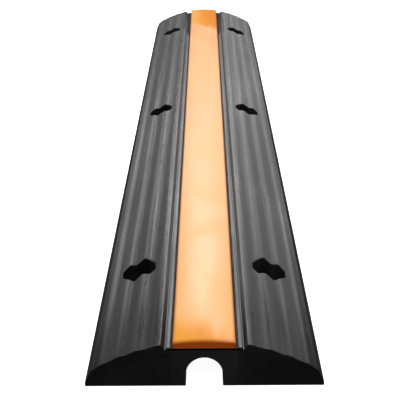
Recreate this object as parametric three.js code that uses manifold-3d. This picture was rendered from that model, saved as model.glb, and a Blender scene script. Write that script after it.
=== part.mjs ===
// Floor cord cover: a moulded rubber ramp that lies over a cord on the floor, with a bright strip on top.
// Millimetres. X runs across the ramp, Y along it and Z up; the origin is on the floor, in the middle.

import * as THREE from 'three';
import { mergeVertices } from 'three/addons/utils/BufferGeometryUtils.js';
import Module from 'manifold-3d';

// Overall size
const length = 1000;
const width = 130;

// Outer edges: a low upright foot, then a bevel up to the wing
const footHeight = 2;
const bevelRun = 3.5;
const bevelRise = 7.5;

// Cord channel: upright walls under a half-round arch, open to the floor
const channelWidth = 20;
const channelWall = 7;
const webAboveChannel = 5;

// Bright strip, bonded on the recess floor between two locating beads
const stripWidth = 34;
const stripThickness = 6;
const stripRound = 1;
const beadGap = 1.2;
const beadWidth = 2.6;
const beadHeight = 1.1;
const beadRound = 0.45;
const wallGap = 0.6;
const wallLean = 2;

// Wings: one shallow arc, with long ribs standing on it
const wingBelowCrown = 1;
const ribCount = 4;
const ribRelief = 0.5;
const ribInset = 2.5;
const ribOutset = 5.2;
const innerRibSharpness = 1;
const outerRibSharpness = 2;

// Fixing slots: zigzags of two joined diamonds with blunt sides, given by half of the corners from the centre
const slotsPerWing = 3;
const slotFromEnd = 114;
const slotValley = 2;
const slotSideTop = { out: 10.5, along: 6.3 };
const slotSideFoot = { out: 10.5, along: -2.4 };
const slotLongPeak = { out: 2.4, along: -16.5 };
const slotNotch = { out: -2.3, along: -8.8 };
const slotShortPeak = { out: -7.1, along: -12.9 };

// Fineness of the round stretches
const stepsPerRib = 8;
const archSteps = 24;
const domeSteps = 16;
const roundSteps = 4;
const cutterMargin = 2;

// Heights worked out from the stack over the channel
const archRadius = channelWidth / 2;
const recessFloor = channelWall + archRadius + webAboveChannel;
const crown = recessFloor + stripThickness;

// Places across the ramp, from its middle
const stripHalf = stripWidth / 2;
const beadInner = stripHalf + beadGap;
const beadOuter = beadInner + beadWidth;
const recessFoot = beadOuter + wallGap;
const wingStart = recessFoot + wallLean;
const wingEnd = width / 2 - bevelRun;
const firstRib = wingStart + ribInset;
const lastRib = wingEnd - ribOutset;
const ribPitch = (lastRib - firstRib) / (ribCount - 1);

// The wing's arc passes through the shoulder of the bevel and a point above the channel
const shoulder = footHeight + bevelRise;
const wingCrown = crown - wingBelowCrown;
const wingRadius = (wingEnd ** 2 + (wingCrown - shoulder) ** 2) / (2 * (wingCrown - shoulder));
const arcHeight = (x, top, radius) => top - radius + Math.sqrt(radius ** 2 - x ** 2);

// A wave on the arc, with one crest for each rib and narrower crests towards the outer edge
function wingHeight(x) {
  const ribsFromFirst = (x - firstRib) / ribPitch;
  const share = THREE.MathUtils.clamp(ribsFromFirst / (ribCount - 1), 0, 1);
  const sharpness = THREE.MathUtils.lerp(innerRibSharpness, outerRibSharpness, share);
  const wave = (1 + Math.cos(2 * Math.PI * ribsFromFirst)) / 2;
  return arcHeight(x, wingCrown, wingRadius) + ribRelief * wave ** sharpness;
}

// A flat-topped bead with rounded shoulders, from the foot of its outer side to the foot of its inner side
function beadSection() {
  const middle = (beadInner + beadOuter) / 2;
  const roundCentre = beadWidth / 2 - beadRound;
  const outer = [[beadWidth / 2, 0]];
  for (let i = 0; i <= roundSteps; i++) {
    const angle = ((Math.PI / 2) * i) / roundSteps;
    outer.push([roundCentre + beadRound * Math.cos(angle), beadHeight - beadRound * (1 - Math.sin(angle))]);
  }
  const inner = [...outer].reverse().map(([x, z]) => [-x, z]);
  return [...outer, ...inner].map(([x, z]) => [middle + x, recessFloor + z]);
}

// Half of the ramp's section from the channel's crown round the foot and up to the recess, on the +X side
function rampHalf() {
  const points = [];
  for (let i = 0; i <= archSteps / 2; i++) {
    const angle = (Math.PI / 2) * (1 - (2 * i) / archSteps);
    points.push([archRadius * Math.cos(angle), channelWall + archRadius * Math.sin(angle)]);
  }
  points.push([archRadius, 0], [width / 2, 0], [width / 2, footHeight]);
  const wingSteps = Math.round(((wingEnd - wingStart) / ribPitch) * stepsPerRib);
  for (let i = 0; i <= wingSteps; i++) {
    const x = THREE.MathUtils.lerp(wingEnd, wingStart, i / wingSteps);
    points.push([x, wingHeight(x)]);
  }
  points.push([recessFoot, recessFloor], ...beadSection());
  return points;
}

// The strip's section on the +X side, from the edge of its underside to its crown
function stripHalfSection() {
  const radius = wingRadius + wingBelowCrown;
  const edgeTop = arcHeight(stripHalf - stripRound, crown, radius);
  const points = [[stripHalf, recessFloor]];
  for (let i = 0; i < roundSteps; i++) {
    const angle = ((Math.PI / 2) * i) / roundSteps;
    const x = stripHalf - stripRound * (1 - Math.cos(angle));
    points.push([x, edgeTop - stripRound * (1 - Math.sin(angle))]);
  }
  for (let i = 0; i <= domeSteps / 2; i++) {
    const x = (stripHalf - stripRound) * (1 - (2 * i) / domeSteps);
    points.push([x, arcHeight(x, crown, radius)]);
  }
  return points;
}

// A closed section from its +X half and the mirrored half
function mirroredShape(half) {
  const onMiddle = ([x]) => Math.abs(x) < 1e-9;
  const other = half.filter((point) => !onMiddle(point)).reverse();
  const points = [...half, ...other.map(([x, z]) => [-x, z])];
  return new THREE.Shape(points.map(([x, z]) => new THREE.Vector2(x, z)));
}

// A section in X and Z, run along the whole length
function runAlongY(shape) {
  const geometry = new THREE.ExtrudeGeometry(shape, { depth: length, bevelEnabled: false });
  return geometry.rotateX(Math.PI / 2).translate(0, length / 2, 0);
}

// One slot's outline, point-symmetric about its centre; side is 1 on the +X wing and -1 on the other
function slotShape(side) {
  const corners = [slotSideTop, slotSideFoot, slotLongPeak, slotNotch, slotShortPeak];
  const half = corners.map(({ out, along }) => new THREE.Vector2(side * out, along));
  return new THREE.Shape([...half, ...half.map((corner) => corner.clone().negate())]);
}

// A prism that cuts one slot from below the floor to above the crown
function slotCutter(side, row) {
  const depth = crown + 2 * cutterMargin;
  const geometry = new THREE.ExtrudeGeometry(slotShape(side), { depth, bevelEnabled: false });
  const slotOut = firstRib + (slotValley - 0.5) * ribPitch;
  const slotPitch = (length - 2 * slotFromEnd) / (slotsPerWing - 1);
  return geometry.translate(side * slotOut, slotFromEnd - length / 2 + row * slotPitch, -cutterMargin);
}

const wasm = await Module();
wasm.setup();

// A closed geometry as a solid for cutting, and back
function toSolid(geometry) {
  const bare = geometry.clone();
  bare.deleteAttribute('normal');
  bare.deleteAttribute('uv');
  const merged = mergeVertices(bare, 1e-5);
  const vertProperties = new Float32Array(merged.attributes.position.array);
  const triVerts = new Uint32Array(merged.index.array);
  return new wasm.Manifold(new wasm.Mesh({ numProp: 3, vertProperties, triVerts }));
}

function toGeometry(solid) {
  const { vertProperties, triVerts } = solid.getMesh();
  const geometry = new THREE.BufferGeometry();
  geometry.setAttribute('position', new THREE.BufferAttribute(vertProperties, 3));
  geometry.setIndex(new THREE.BufferAttribute(triVerts, 1));
  geometry.computeVertexNormals();
  return geometry;
}

// The rubber ramp, with its slots cut through both wings
function rampBody() {
  let solid = toSolid(runAlongY(mirroredShape(rampHalf())));
  for (const side of [-1, 1]) {
    for (let row = 0; row < slotsPerWing; row++) {
      solid = solid.subtract(toSolid(slotCutter(side, row)));
    }
  }
  const rubber = new THREE.MeshStandardMaterial({ color: 0x242424, roughness: 0.7, metalness: 0 });
  const mesh = new THREE.Mesh(toGeometry(solid), rubber);
  mesh.name = 'ramp_body';
  return mesh;
}

// The bright strip along the crown
function visibilityStrip() {
  const geometry = runAlongY(mirroredShape(stripHalfSection()));
  const orange = new THREE.MeshStandardMaterial({ color: 0xf2920f, roughness: 0.4, metalness: 0 });
  const mesh = new THREE.Mesh(geometry, orange);
  mesh.name = 'visibility_strip';
  return mesh;
}

const cordCover = new THREE.Group();
cordCover.name = 'floor_cord_cover';
cordCover.add(rampBody(), visibilityStrip());

export default cordCover;
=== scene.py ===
"""A floor cord cover: a ribbed black rubber ramp with an orange strip, on a pale studio floor."""

import math

import bpy
import numpy as np
from mathutils import Matrix, Vector
from mathutils.geometry import delaunay_2d_cdt


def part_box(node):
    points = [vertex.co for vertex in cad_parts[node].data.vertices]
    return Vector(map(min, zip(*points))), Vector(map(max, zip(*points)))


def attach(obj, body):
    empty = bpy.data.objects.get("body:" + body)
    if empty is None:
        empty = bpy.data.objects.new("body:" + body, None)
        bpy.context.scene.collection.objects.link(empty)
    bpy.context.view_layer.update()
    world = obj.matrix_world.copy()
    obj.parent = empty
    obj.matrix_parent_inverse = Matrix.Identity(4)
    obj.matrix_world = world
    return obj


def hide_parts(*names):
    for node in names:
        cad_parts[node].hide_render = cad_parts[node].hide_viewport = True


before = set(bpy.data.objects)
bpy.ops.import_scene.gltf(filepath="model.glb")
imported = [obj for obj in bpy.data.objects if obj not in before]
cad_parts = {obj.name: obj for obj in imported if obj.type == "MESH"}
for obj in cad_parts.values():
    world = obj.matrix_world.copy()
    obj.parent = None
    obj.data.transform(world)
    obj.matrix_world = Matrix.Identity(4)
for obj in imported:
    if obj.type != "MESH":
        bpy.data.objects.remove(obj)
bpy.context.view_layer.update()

MM = 0.001

# Places across the ramp, as the solids have them
STRIP_HALF = 17 * MM
BEAD_MIDDLE = 19.5 * MM
BEAD_HALF = 1.3 * MM
WING_START = 23.4 * MM
FIRST_RIB = 25.9 * MM
RIB_PITCH = 10.133 * MM

# Rounding of the edges, and how finely both shapes are drawn again
SECTION_ROUND = 0.6 * MM
RAMP_END_ROUND = 0.45 * MM
STRIP_END_ROUND = 2.2 * MM
RIM_ROUND = 0.6 * MM
SLOT_CORNER_ROUND = 1.1 * MM
ROUND_STEPS = 4
ROUND_SHARE_OF_SIDE = 0.45
LEAST_MITRE_COSINE = 0.5
SHARP_TURN = math.radians(25)
SHARP_EDGE = math.radians(40)
SECTION_STEP = 3 * MM
RIM_STEP = 0.8 * MM
RIM_CLEAR = 0.3 * MM
ROW_STEP = 9 * MM
SLOT_ROW_STEP = 2.5 * MM
SLOT_PATCH = 21 * MM
SLOT_SIDE_PATCH = 4 * MM
WING_LOWEST = 5 * MM
SAME_PLACE = 1e-6
TRIANGLE_SNAP = 1e-8

# The photograph's camera, fitted to the ramp's corners, outline and slots
CAMERA_AT = Vector((1.51, -1032.4, 298.6)) * MM
CAMERA_PITCH = math.radians(19.777)
CAMERA_YAW = math.radians(0.331)
CAMERA_ROLL = math.radians(-0.482)
FOCAL_PIXELS = 1109.9
IMAGE_PIXELS = 400

# Stretches along the ramp, in metres from its middle, over which its wear and painted sheen, the painted
# light in its grooves, and its colour with its painted reflection change
WEAR_SHEEN_FRONT = (-0.475, -0.41)
WEAR_SHEEN_BACK = (0.0, 0.3)
GRIME_BACK = (0.33, 0.395)
GROOVE_LIGHT_BOTH_ENDS = (0.40, 0.49)
BLEACHED_SHEEN_FRONT = (-0.494, -0.436)
BLEACHED_SHEEN_BACK = (0.380, 0.426)

# How far out the grime reaches at the back end, and where it starts to thin
GRIME_LEFT = 31 * MM
GRIME_RIGHT = 26 * MM
GRIME_THINS = 21 * MM

# Colours, and the roughness of what is matt
RUBBER_DARK = (0.0095, 0.0095, 0.0102, 1)
RUBBER_BLOOM = (0.022, 0.022, 0.023, 1)
# Worn rubber grey, which also stands in for a painted sheen on the rib crests
RUBBER_WORN_SHEEN = (0.125, 0.125, 0.128, 1)
# Pale grey painted into the shaded grooves beside the beads as painted light
GROOVE_LIGHT = (0.120, 0.118, 0.114, 1)
ORANGE_LEFT = (0.75, 0.320, 0.014, 1)
ORANGE_RIGHT = (0.72, 0.190, 0.001, 1)
# Darker, redder orange on the upright faces as painted shade
ORANGE_SHADED_SIDES = (0.82, 0.140, 0.001, 1)
# Paler orange, partly from bleaching and partly a painted reflection
BLEACHED_SHEEN_DARKER = (0.84, 0.345, 0.066, 1)
BLEACHED_SHEEN_PALER = (0.88, 0.395, 0.100, 1)
SCUFFED = (0.92, 0.50, 0.20, 1)
# Painted shade along the strip's edges, beside the gaps next to it
EDGE_SHADE = (0.34, 0.085, 0.006, 1)
MATT = 0.85


# Node helpers

def new_material(name):
    material = bpy.data.materials.new(name)
    material.use_nodes = True
    return material, material.node_tree, material.node_tree.nodes["Principled BSDF"]


def add_node(tree, kind, **values):
    node = tree.nodes.new(kind)
    for key, value in values.items():
        setattr(node, key, value)
    return node


def set_input(tree, node, key, value):
    """A socket goes in as a link, and a number or colour as the socket's own value."""
    if isinstance(value, bpy.types.NodeSocket):
        tree.links.new(value, node.inputs[key])
    else:
        node.inputs[key].default_value = value


def math_node(tree, operation, *values):
    node = add_node(tree, "ShaderNodeMath", operation=operation)
    for place, value in enumerate(values):
        set_input(tree, node, place, value)
    return node.outputs[0]


def stretched(tree, scale):
    """Object coordinates, scaled by a different number along each axis."""
    place = add_node(tree, "ShaderNodeTexCoord").outputs["Object"]
    mapping = add_node(tree, "ShaderNodeMapping")
    set_input(tree, mapping, "Vector", place)
    mapping.inputs["Scale"].default_value = scale
    return mapping.outputs["Vector"]


def noise(tree, scale, detail=3.0, roughness=0.55):
    """Noise with a different number of waves per metre along each axis."""
    node = add_node(tree, "ShaderNodeTexNoise")
    set_input(tree, node, "Vector", stretched(tree, scale))
    node.inputs["Scale"].default_value = 1.0
    node.inputs["Detail"].default_value = detail
    node.inputs["Roughness"].default_value = roughness
    return node.outputs["Fac"]


def span(tree, value, low, high, to_low=0.0, to_high=1.0):
    """Maps low..high to to_low..to_high, held at both ends."""
    node = add_node(tree, "ShaderNodeMapRange", interpolation_type="SMOOTHSTEP")
    limits = {"From Min": low, "From Max": high, "To Min": to_low, "To Max": to_high}
    for key, number in {"Value": value, **limits}.items():
        set_input(tree, node, key, number)
    return node.outputs["Result"]


def mix_colour(tree, share, first, second):
    node = add_node(tree, "ShaderNodeMix", data_type="RGBA")
    set_input(tree, node, "Factor", share)
    set_input(tree, node, "A", first)
    set_input(tree, node, "B", second)
    return node.outputs["Result"]


def bump(tree, height, depth, under=None):
    node = add_node(tree, "ShaderNodeBump")
    node.inputs["Distance"].default_value = depth
    set_input(tree, node, "Height", height)
    if under is not None:
        set_input(tree, node, "Normal", under)
    return node.outputs["Normal"]


def coordinate(tree, kind, axis):
    """One axis of the object coordinates, or of the surface normal."""
    parts = add_node(tree, "ShaderNodeSeparateXYZ")
    set_input(tree, parts, 0, add_node(tree, "ShaderNodeTexCoord").outputs[kind])
    return parts.outputs[axis]


def distance_from_middle(tree):
    """How far a point lies from the ramp's middle plane, in metres."""
    return math_node(tree, "ABSOLUTE", coordinate(tree, "Object", "X"))


def facing_up(tree):
    """1 on the wings and 0 on upright faces."""
    return span(tree, coordinate(tree, "Normal", "Z"), 0.3, 0.8)


# Materials

def rib_crests(tree):
    """1 along the crest of each rib and 0 in the valleys between them."""
    from_first = math_node(tree, "SUBTRACT", distance_from_middle(tree), FIRST_RIB)
    turns = math_node(tree, "MULTIPLY", from_first, 2 * math.pi / RIB_PITCH)
    wave = math_node(tree, "COSINE", turns)
    return math_node(tree, "MULTIPLY_ADD", wave, 0.5, 0.5)


def bead_top(tree):
    """1 along the top of each bead."""
    from_bead = math_node(tree, "SUBTRACT", distance_from_middle(tree), BEAD_MIDDLE)
    return span(tree, math_node(tree, "ABSOLUTE", from_bead), 0.5 * BEAD_HALF, BEAD_HALF, 1.0, 0.0)


def groove_light(tree):
    """1 in the groove between a bead and the wing beside it, where the shaded groove is lightened with
    painted light, and nothing at its open ends.
    """
    distance = distance_from_middle(tree)
    from_middle = math_node(tree, "ABSOLUTE", coordinate(tree, "Object", "Y"))
    away_from_ends = span(tree, from_middle, *GROOVE_LIGHT_BOTH_ENDS, 1.0, 0.0)
    before_wing = span(tree, distance, WING_START - 0.2 * MM, WING_START + 0.4 * MM, away_from_ends, 0.0)
    bead_side = BEAD_MIDDLE + BEAD_HALF
    return span(tree, distance, bead_side + 0.2 * MM, bead_side + 0.8 * MM, 0.0, before_wing)


def with_grime(tree, roughness):
    """A roughness that is dulled beside the strip, and further out at the back end, most on the left."""
    along = coordinate(tree, "Object", "Y")
    bead_side = BEAD_MIDDLE - BEAD_HALF
    back_edge = span(tree, coordinate(tree, "Object", "X"), -10 * MM, 10 * MM, GRIME_LEFT, GRIME_RIGHT)
    outer_edge = span(tree, along, *GRIME_BACK, bead_side, back_edge)
    inner_edge = span(tree, along, *GRIME_BACK, bead_side - 0.3 * MM, GRIME_THINS)
    return span(tree, distance_from_middle(tree), inner_edge, outer_edge, MATT, roughness)


def traffic_and_sheen(tree):
    """How strongly the crests are lightened, by wear and by a painted sheen: less at both ends and beside
    the strip, and more on the left one.
    """
    along = coordinate(tree, "Object", "Y")
    front = span(tree, along, *WEAR_SHEEN_FRONT, 0.2, 1.0)
    back = span(tree, along, *WEAR_SHEEN_BACK, front, 0.2)
    side = span(tree, coordinate(tree, "Object", "X"), -20 * MM, 20 * MM, 1.0, 0.4)
    out = span(tree, distance_from_middle(tree), 26 * MM, 40 * MM, 0.2, side)
    return math_node(tree, "MULTIPLY", back, out)


def ramp_rubber():
    """Moulded black rubber: cloudy bloom, flow streaks along the ribs, crests lightened by wear and by a
    painted sheen, painted light in the grooves beside the beads, and a fine grain.
    """
    material, tree, shader = new_material("moulded_rubber")
    clouds = noise(tree, (26, 7, 26), detail=4)
    streaks = noise(tree, (380, 7, 380), detail=2, roughness=0.5)
    bloom = span(tree, math_node(tree, "MULTIPLY_ADD", streaks, 0.35, clouds), 0.55, 0.95)
    colour = mix_colour(tree, bloom, RUBBER_DARK, RUBBER_BLOOM)
    ribs = span(tree, rib_crests(tree), 0.25, 1.0)
    crests = math_node(tree, "MAXIMUM", ribs, math_node(tree, "MULTIPLY", bead_top(tree), 0.15))
    # The crests are lightened partly by wear and partly by a painted sheen, brighter on the left wing and
    # at mid-length
    worn_and_sheen = math_node(tree, "MULTIPLY", crests, span(tree, streaks, 0.20, 0.80, 0.35, 1.0))
    worn_and_sheen = math_node(tree, "MULTIPLY", worn_and_sheen, facing_up(tree))
    worn_and_sheen = math_node(tree, "MULTIPLY", worn_and_sheen, traffic_and_sheen(tree))
    colour = mix_colour(tree, worn_and_sheen, colour, RUBBER_WORN_SHEEN)
    # Painted light: the shaded grooves beside the beads are lightened with pale grey
    colour = mix_colour(tree, groove_light(tree), colour, GROOVE_LIGHT)
    set_input(tree, shader, "Base Color", colour)
    dull = span(tree, math_node(tree, "MULTIPLY_ADD", streaks, 0.5, clouds), 0.5, 1.0, 0.30, 0.42)
    gloss = math_node(tree, "MULTIPLY_ADD", crests, -0.08, dull)
    set_input(tree, shader, "Roughness", with_grime(tree, gloss))
    shader.inputs["Specular IOR Level"].default_value = 0.42
    ripple = bump(tree, noise(tree, (90, 22, 90), detail=2), 0.10 * MM)
    lines = bump(tree, streaks, 0.06 * MM, ripple)
    grain = bump(tree, noise(tree, (1500, 1500, 1500), detail=2), 0.03 * MM, lines)
    set_input(tree, shader, "Normal", grain)
    return material


def strip_fading_and_sheen(tree):
    """1 where the strip is paler, partly from bleaching and partly as a painted reflection of the lights
    behind. It keeps its colour at both ends, though less at the back left.
    """
    across = coordinate(tree, "Object", "X")
    along = coordinate(tree, "Object", "Y")
    slanted = math_node(tree, "ADD", across, along)
    ragged = math_node(tree, "MULTIPLY_ADD", noise(tree, (90, 24, 90), detail=3), 0.05, slanted)
    front = span(tree, ragged, *BLEACHED_SHEEN_FRONT)
    back_left = span(tree, across, -12 * MM, 0, 0.35, 0.0)
    back = span(tree, ragged, *BLEACHED_SHEEN_BACK, 1.0, back_left)
    return math_node(tree, "MULTIPLY", front, back)


def strip_plastic():
    """Orange plastic: paler between its ends from bleaching and a painted reflection, with painted shade
    along its edges and on its upright faces, long scuffs and orange peel.
    """
    material, tree, shader = new_material("orange_plastic")
    mottle = span(tree, noise(tree, (40, 14, 40), detail=4), 0.35, 0.7)
    faded_and_sheen = strip_fading_and_sheen(tree)
    rightwards = span(tree, coordinate(tree, "Object", "X"), -STRIP_HALF, STRIP_HALF, 0.0, 0.8)
    redder = math_node(tree, "MULTIPLY_ADD", mottle, 0.2, rightwards)
    deep = mix_colour(tree, redder, ORANGE_LEFT, ORANGE_RIGHT)
    pale = mix_colour(tree, mottle, BLEACHED_SHEEN_DARKER, BLEACHED_SHEEN_PALER)
    # The pale middle is partly bleaching and partly a painted reflection of the lights behind
    colour = mix_colour(tree, faded_and_sheen, deep, pale)
    scuffs = span(tree, noise(tree, (1400, 26, 1400), detail=4, roughness=0.7), 0.60, 0.78)
    colour = mix_colour(tree, math_node(tree, "MULTIPLY", scuffs, 0.25), colour, SCUFFED)
    # Painted shade: upright faces, such as the ends, take a darker, redder orange than the top
    colour = mix_colour(tree, facing_up(tree), ORANGE_SHADED_SIDES, colour)
    # Painted shade: the strip darkens towards its edges, next to the gaps beside it
    edge = span(tree, distance_from_middle(tree), STRIP_HALF - 2.2 * MM, STRIP_HALF)
    edge_shade = math_node(tree, "MULTIPLY", edge, 0.55)
    set_input(tree, shader, "Base Color", mix_colour(tree, edge_shade, colour, EDGE_SHADE))
    gloss = span(tree, mottle, 0.0, 1.0, 0.30, 0.40)
    set_input(tree, shader, "Roughness", span(tree, faded_and_sheen, 0.0, 1.0, MATT, gloss))
    peel = bump(tree, noise(tree, (420, 300, 420), detail=2), 0.04 * MM)
    set_input(tree, shader, "Normal", bump(tree, scuffs, 0.02 * MM, peel))
    return material


# Both shapes, drawn again from their solids with rounded edges and slot rims

def flat_outlines(node, axis, place):
    """The closed outlines of a solid's flat faces at one place along an axis, each as corners in order."""
    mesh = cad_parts[node].data
    corners = [tuple(vertex.co) for vertex in mesh.vertices]
    edges = set()
    for face in mesh.polygons:
        around = [corners[i] for i in face.vertices]
        if all(abs(corner[axis] - place) < SAME_PLACE for corner in around):
            for edge in zip(around, around[1:] + around[:1]):
                if edge[::-1] in edges:
                    edges.remove(edge[::-1])
                else:
                    edges.add(edge)
    following = dict(edges)
    outlines = []
    while following:
        start, corner = following.popitem()
        outline = [start]
        while corner != start:
            outline.append(corner)
            corner = following.pop(corner)
        outlines.append([Vector([c for i, c in enumerate(corner) if i != axis]) for corner in outline])
    return outlines


def counterclockwise(outline):
    area = sum(a.cross(b) for a, b in zip(outline, outline[1:] + outline[:1]))
    return outline if area > 0 else outline[::-1]


def middle_of(outline):
    return sum(outline, Vector((0, 0))) / len(outline)


def corners_with_turns(outline):
    """Each corner with its neighbours, its directions in and out, and its turn, positive to the left."""
    before_and_after = zip(outline[-1:] + outline[:-1], outline, outline[1:] + outline[:1])
    for before, corner, after in before_and_after:
        into, out = (corner - before).normalized(), (after - corner).normalized()
        yield before, corner, after, into, out, math.atan2(into.cross(out), into.dot(out))


def with_round_corners(outline, radius, hollows_too=False):
    """A counterclockwise outline with its sharp corners rounded, and its hollow ones too where asked."""
    result = []
    for before, corner, after, into, out, turn in corners_with_turns(outline):
        if turn > SHARP_TURN or (hollows_too and turn < -SHARP_TURN):
            reach = radius * math.tan(abs(turn) / 2)
            start = corner - into * min(reach, ROUND_SHARE_OF_SIDE * (corner - before).length)
            end = corner + out * min(reach, ROUND_SHARE_OF_SIDE * (after - corner).length)
            for share in (step / ROUND_STEPS for step in range(ROUND_STEPS + 1)):
                result.append(start.lerp(corner, share).lerp(corner.lerp(end, share), share))
        else:
            result.append(corner)
    return result


def with_short_sides(outline, longest):
    result = []
    for corner, after in zip(outline, outline[1:] + outline[:1]):
        parts = math.ceil((after - corner).length / longest)
        result += [corner.lerp(after, part / parts) for part in range(parts)]
    return result


def grown(outline, distance):
    """A counterclockwise outline moved outwards by a distance, or inwards where that is negative."""
    result = []
    for _, corner, _, into, out, turn in corners_with_turns(outline):
        outwards = Vector((into.y + out.y, -into.x - out.x)).normalized()
        result.append(corner + outwards * distance / max(math.cos(turn / 2), LEAST_MITRE_COSINE))
    return result


def inside(point, outline):
    crossings = 0
    for a, b in zip(outline, outline[1:] + outline[:1]):
        if (a.y > point.y) != (b.y > point.y):
            crossings += point.x < a.x + (b.x - a.x) * (point.y - a.y) / (b.y - a.y)
    return crossings % 2 == 1


def quarter_round(radius):
    """Steps round a rounded edge: how far each lies from one face, and how far from the other."""
    angles = [math.pi / 2 * step / ROUND_STEPS for step in range(ROUND_STEPS + 1)]
    return [(radius * (1 - math.cos(angle)), radius * (1 - math.sin(angle))) for angle in angles]


def row_places(low, high, slot_rows):
    """Where the section is drawn between the rounded ends: in close rows at the slots, else wider ones."""
    limits = [low, *(row + side * SLOT_PATCH for row in slot_rows for side in (-1, 1)), high]
    places = [low]
    for stretch, (start, end) in enumerate(zip(limits, limits[1:])):
        parts = math.ceil((end - start) / (SLOT_ROW_STEP if stretch % 2 else ROW_STEP))
        places += [start + (end - start) * (part + 1) / parts for part in range(parts)]
    return places


def section_rows(section, drawn_in, half_length, end_round, slot_rows=()):
    """(place along the ramp, section there) from end to end, with the section drawn in at both ends."""
    ends = [(half_length - out, drawn_in(section, inwards)) for out, inwards in quarter_round(end_round)]
    middle = row_places(end_round - half_length, half_length - end_round, slot_rows)[1:-1]
    front = [(-place, outline) for place, outline in ends]
    return front + [(place, section) for place in middle] + ends[::-1]


def closed_mesh(name, rows, vertices=None, left_out=(), faces=()):
    """The skin from row to row and both ends, less the cells left out, plus the faces that fill them."""
    count = len(rows[0][1])
    vertices = vertices or row_vertices(rows)
    last = (len(rows) - 1) * count
    faces = [*faces, list(range(count)), list(range(last, last + count))[::-1]]
    for r in range(len(rows) - 1):
        for j in range(count):
            if (r, j) not in left_out:
                near, after = r * count, (j + 1) % count
                faces.append([near + j, near + count + j, near + count + after, near + after])
    numbers = {old: new for new, old in enumerate(sorted({i for face in faces for i in face}))}
    mesh = bpy.data.meshes.new(name)
    mesh.from_pydata([vertices[i] for i in numbers], [], [[numbers[i] for i in face] for face in faces])
    return mesh


def row_vertices(rows):
    return [Vector((corner.x, place, corner.y)) for place, outline in rows for corner in outline]


def patch_round_slot(vertices, grid, rim, upper):
    """Adds a slot's rounded rim to the vertices. Returns its inmost ring and the triangles around it."""
    columns = [vertices[i] for i in grid[0]]
    across, heights = zip(*sorted((corner.x, corner.z) for corner in columns))
    rings = [(grown(rim, out), down) for out, down in quarter_round(RIM_ROUND)]
    clear = grown(rim, RIM_ROUND + RIM_CLEAR)
    border = {*grid[0], *grid[-1], *(row[0] for row in grid), *(row[-1] for row in grid)}
    used = [i for row in grid for i in row if i in border or not inside(vertices[i].xy, clear)]
    flat = [vertices[i].xy for i in used]
    edges = []
    for ring, down in rings:
        first = len(flat)
        edges += [(first + i, first + (i + 1) % len(ring)) for i in range(len(ring))]
        flat += ring
        for corner in ring:
            height = float(np.interp(corner.x, across, heights))
            used.append(len(vertices))
            vertices.append(Vector((corner.x, corner.y, height - down if upper else height + down)))
    places, _, triangles, sources, _, _ = delaunay_2d_cdt(flat, edges, [], 0, TRIANGLE_SNAP)
    faces = []
    for triangle in triangles:
        if not inside(middle_of([places[i] for i in triangle]), rim):
            face = [used[sources[i][0]] for i in triangle]
            faces.append(face if upper else face[::-1])
    inmost = used[len(used) - len(rings) * len(rim):][:len(rim)]
    return inmost, faces


def cut_slot(slot, section, rows, vertices):
    """Adds a slot's rims to the vertices. Returns the cells it takes out of the skin and its own faces."""
    middle = middle_of(slot)
    rim = with_short_sides(with_round_corners(slot, SLOT_CORNER_ROUND, True), RIM_STEP)
    reach = max(abs(corner.x - middle.x) for corner in slot) + SLOT_SIDE_PATCH
    near_rows = [r for r, (place, _) in enumerate(rows) if abs(place - middle.y) < SLOT_PATCH + SAME_PLACE]
    cells = set()
    faces = []
    rings = []
    for upper in (True, False):
        columns = [j for j, corner in enumerate(section) if abs(corner.x - middle.x) < reach
                   and (corner.y > WING_LOWEST if upper else corner.y < SAME_PLACE)]
        cells.update((r, j) for r in near_rows[:-1] for j in columns[:-1])
        grid = [[r * len(section) + j for j in columns] for r in near_rows]
        ring, patch = patch_round_slot(vertices, grid, rim, upper)
        rings.append(ring)
        faces += patch
    top, bottom = rings
    faces += [[top[i - 1], top[i], bottom[i], bottom[i - 1]] for i in range(len(rim))]
    return cells, faces


def ramp_mesh():
    """The ramp's section run from end to end, with patches of triangles round the slots."""
    low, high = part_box("ramp_body")
    corners = counterclockwise(flat_outlines("ramp_body", 1, low.y)[0])
    section = with_short_sides(with_round_corners(corners, SECTION_ROUND), SECTION_STEP)
    flats = flat_outlines("ramp_body", 2, low.z)
    slots = [counterclockwise(o) for o in flats if all(abs(c.y) < high.y - SLOT_PATCH for c in o)]
    slot_rows = sorted({round(middle_of(slot).y, 4) for slot in slots})

    def drawn_in(outline, inwards):
        return grown(outline, -inwards)

    rows = section_rows(section, drawn_in, high.y, RAMP_END_ROUND, slot_rows)
    vertices = row_vertices(rows)
    left_out = set()
    faces = []
    for slot in slots:
        cells, slot_faces = cut_slot(slot, section, rows, vertices)
        left_out |= cells
        faces += slot_faces
    return closed_mesh("ramp", rows, vertices, left_out, faces)


def strip_mesh():
    """The strip's section run from end to end, with its top rounded off towards both ends."""
    low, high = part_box("visibility_strip")
    corners = counterclockwise(flat_outlines("visibility_strip", 1, low.y)[0])
    section = with_short_sides(corners, SECTION_STEP)

    def lowered(outline, down):
        share = 1 - down / (high.z - low.z)
        return [Vector((corner.x, low.z + (corner.y - low.z) * share)) for corner in outline]

    return closed_mesh("strip", section_rows(section, lowered, high.y, STRIP_END_ROUND))


def add_piece(mesh, material, node):
    """A smoothly shaded piece that stands in for a solid, and keeps only its real corners sharp."""
    mesh.materials.append(material)
    mesh.shade_smooth()
    mesh.set_sharp_from_angle(angle=SHARP_EDGE)
    piece = bpy.data.objects.new(mesh.name, mesh)
    bpy.context.scene.collection.objects.link(piece)
    even = piece.modifiers.new("even_shading", "WEIGHTED_NORMAL")
    even.keep_sharp = True
    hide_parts(node)
    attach(piece, "root")


# Stage

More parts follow.
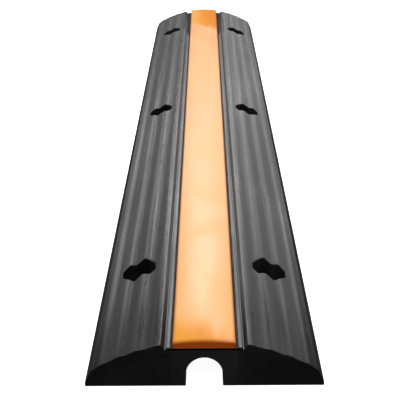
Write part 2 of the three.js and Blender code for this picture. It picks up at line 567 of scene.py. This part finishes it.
def pale_floor():
    """A plain pale floor that lights nothing, so that the ramp's lower edges stay black."""
    bpy.ops.mesh.primitive_plane_add(size=30)
    floor = bpy.context.object
    floor.name = "floor"
    material, _, shader = new_material("pale_floor")
    shader.inputs["Base Color"].default_value = (0.86, 0.86, 0.86, 1)
    shader.inputs["Roughness"].default_value = 0.9
    shader.inputs["Specular IOR Level"].default_value = 0.1
    shader.inputs["Emission Color"].default_value = (1, 1, 1, 1)
    shader.inputs["Emission Strength"].default_value = 0.97
    floor.data.materials.append(material)
    floor.visible_diffuse = False
    floor.visible_glossy = False


def softbox(name, centre, aim, width, height, radiance):
    light = bpy.data.lights.new(name, "AREA")
    light.shape = "RECTANGLE"
    light.size = width
    light.size_y = height
    light.energy = radiance * math.pi * width * height
    lamp = bpy.data.objects.new(name, light)
    lamp.location = centre
    lamp.rotation_euler = (Vector(aim) - Vector(centre)).to_track_quat("-Z", "Y").to_euler()
    bpy.context.scene.collection.objects.link(lamp)


def studio_light():
    """Softboxes overhead, in front, at both sides, and a wall of them behind that shines in the rubber."""
    world = bpy.data.worlds.new("studio")
    world.use_nodes = True
    world.node_tree.nodes["Background"].inputs["Color"].default_value = (1, 1, 1, 1)
    world.node_tree.nodes["Background"].inputs["Strength"].default_value = 0.05
    bpy.context.scene.world = world
    softbox("overhead", (0, 0.3, 2.0), (0, 0.3, 0), 2.4, 1.8, 3.5)
    softbox("front", (0, -1.5, 1.5), (0, 0, 0), 2.0, 1.0, 2.1)
    softbox("left", (-1.6, 0, 0.8), (0, 0, 0), 1.2, 1.2, 0.8)
    softbox("right", (1.6, 0, 0.8), (0, 0, 0), 1.2, 1.2, 0.8)
    softbox("behind_high", (0, 2.5, 1.52), (0, 0, 1.52), 0.52, 0.60, 8.1)
    softbox("behind_wide", (0, 2.5, 0.91), (0, 0, 0.91), 1.34, 0.20, 5.6)
    softbox("low_left", (-1.055, 2.5, 0.42), (-1.055, 0, 0.42), 0.77, 0.40, 1.2)
    softbox("lowest_left", (-0.85, 2.5, 0.24), (-0.85, 0, 0.24), 1.18, 0.40, 0.35)
    softbox("low_middle_right", (0.465, 2.5, 0.42), (0.465, 0, 0.42), 0.41, 0.40, 1.3)
    softbox("low_right", (1.055, 2.5, 0.42), (1.055, 0, 0.42), 0.77, 0.40, 2.1)


def photo_camera():
    camera = bpy.data.cameras.new("camera")
    camera.sensor_width = 36
    camera.lens = FOCAL_PIXELS / IMAGE_PIXELS * camera.sensor_width
    seat = bpy.data.objects.new("camera", camera)
    turn = Matrix.Rotation(CAMERA_YAW, 4, "Z")
    tilt = Matrix.Rotation(math.pi / 2 - CAMERA_PITCH, 4, "X")
    roll = Matrix.Rotation(CAMERA_ROLL, 4, "Z")
    seat.matrix_world = Matrix.Translation(CAMERA_AT) @ turn @ tilt @ roll
    bpy.context.scene.collection.objects.link(seat)
    bpy.context.scene.camera = seat


bpy.context.scene.view_settings.view_transform = "Standard"
photo_camera()
pale_floor()
studio_light()
add_piece(ramp_mesh(), ramp_rubber(), "ramp_body")
add_piece(strip_mesh(), strip_plastic(), "visibility_strip")
